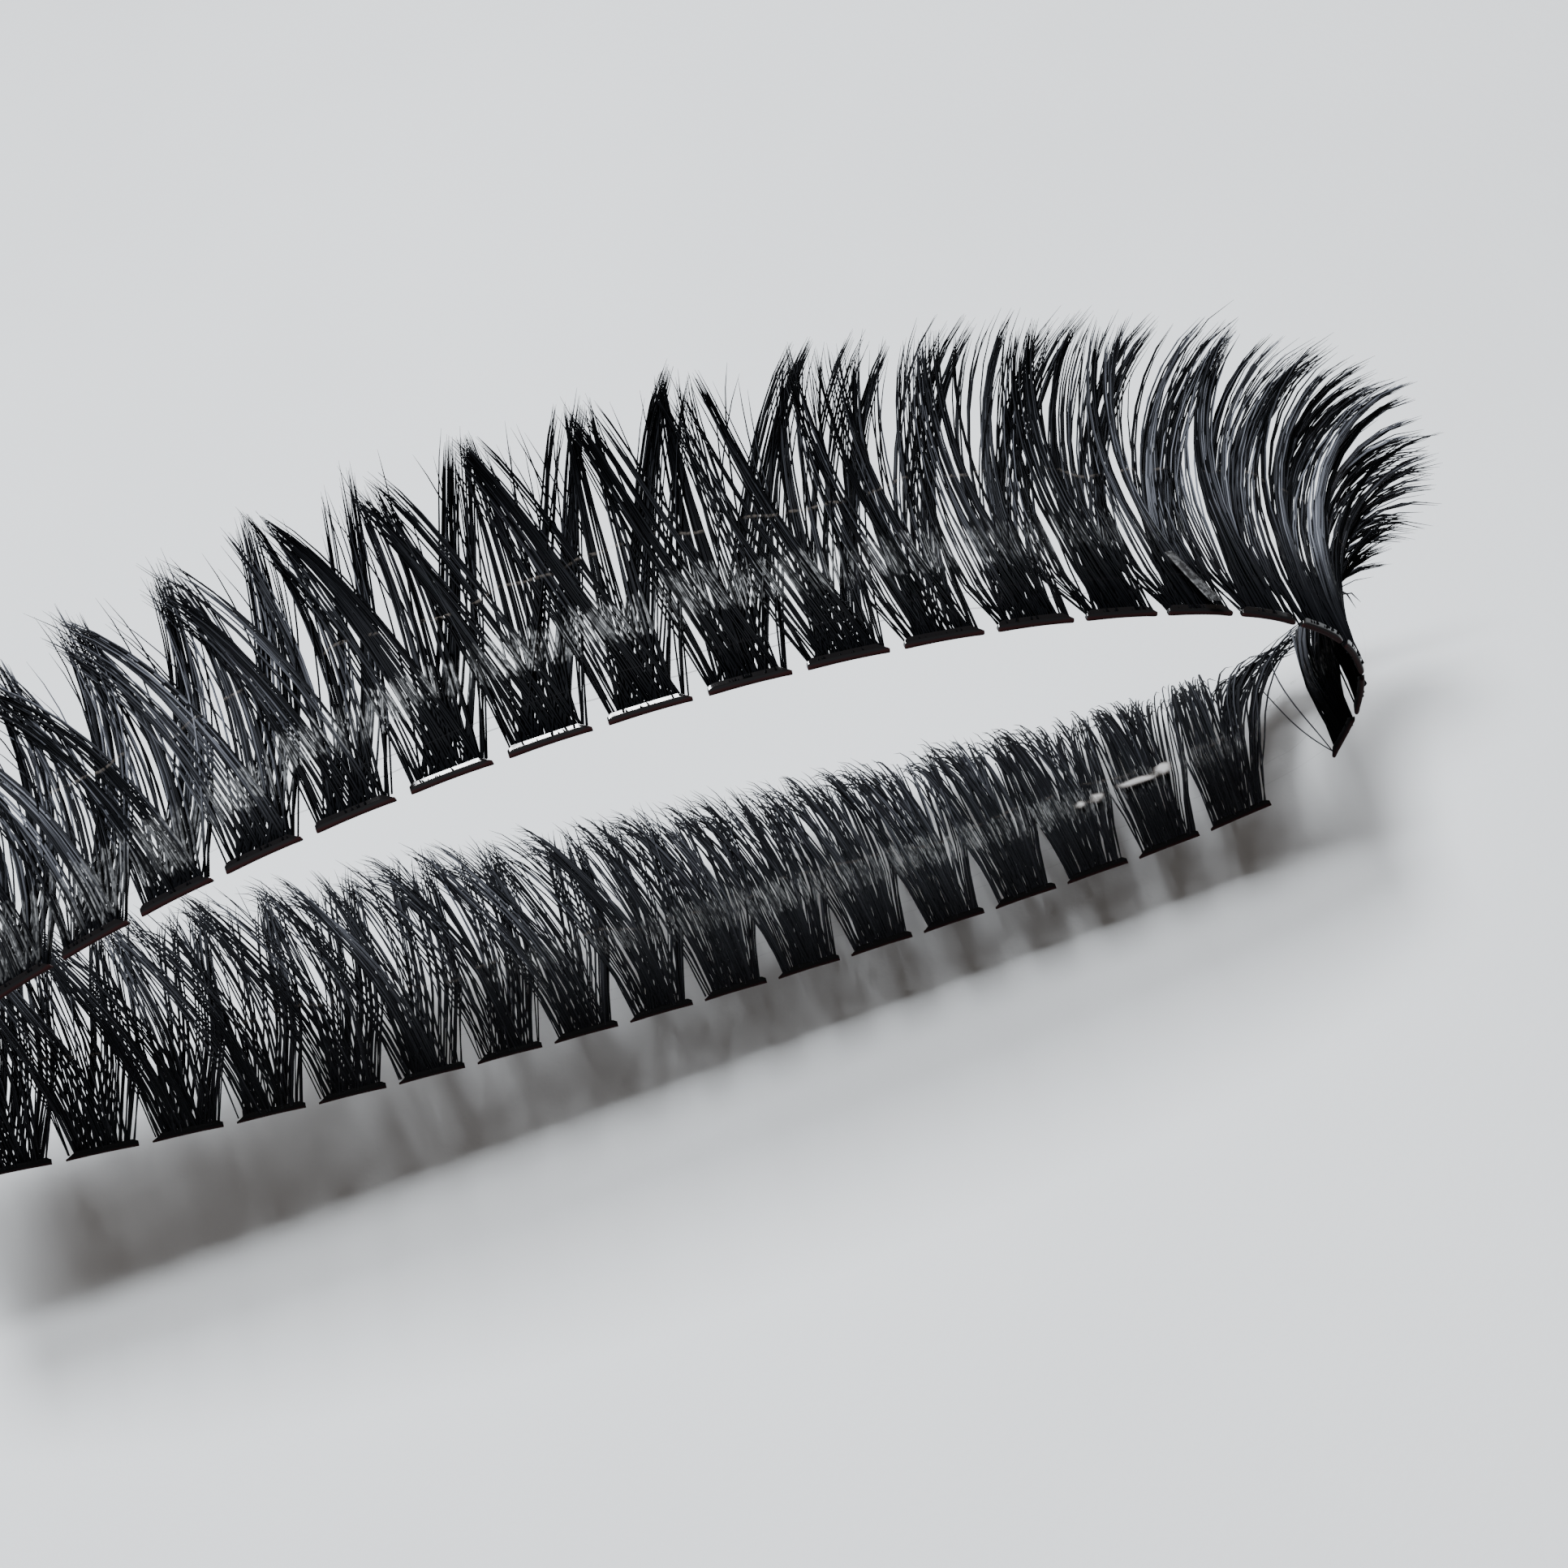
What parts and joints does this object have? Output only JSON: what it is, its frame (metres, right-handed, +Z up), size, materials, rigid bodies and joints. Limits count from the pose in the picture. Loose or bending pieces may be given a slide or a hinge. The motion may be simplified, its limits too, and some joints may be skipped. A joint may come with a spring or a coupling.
{
  "type": "strip of eyelash extension clusters",
  "caption": "Strip of black false-lash clusters: curled fans on short glossy base bars, joined by clear film and bent into a teardrop loop held by its ends.",
  "frame": {"origin": "midway between the strip's two ends where they are held together, level with the undersides of the base bars", "axes": "+X from the held ends to the bend of the loop, +Y along the lashes from base bars to tips, +Z up"},
  "size_m": [0.1127, 0.0155, 0.0516],
  "materials": {
    "fibre": "satin black fibre, glossy at the base bars",
    "film": "clear film with frosted patches"
  },
  "bodies": {
    "root": {"cluster_01": "fibre", "cluster_02": "fibre", "cluster_03": "fibre", "cluster_04": "fibre", "cluster_05": "fibre", "cluster_06": "fibre", "cluster_07": "fibre", "cluster_08": "fibre", "cluster_09": "fibre", "cluster_10": "fibre", "cluster_11": "fibre", "cluster_12": "fibre", "cluster_13": "fibre", "cluster_14": "fibre", "cluster_15": "fibre", "cluster_16": "fibre", "cluster_17": "fibre", "cluster_18": "fibre", "cluster_19": "fibre", "cluster_20": "fibre", "cluster_21": "fibre", "cluster_22": "fibre", "cluster_23": "fibre", "cluster_24": "fibre", "cluster_25": "fibre", "cluster_26": "fibre", "cluster_27": "fibre", "cluster_28": "fibre", "cluster_29": "fibre", "cluster_30": "fibre", "cluster_31": "fibre", "cluster_32": "fibre", "cluster_33": "fibre", "cluster_34": "fibre", "cluster_35": "fibre", "cluster_36": "fibre", "cluster_37": "fibre", "cluster_38": "fibre", "cluster_39": "fibre", "cluster_40": "fibre", "cluster_41": "fibre", "cluster_42": "fibre", "cluster_43": "fibre", "film_outer": "film", "film_inner": "film"}
  },
  "joints": []
}
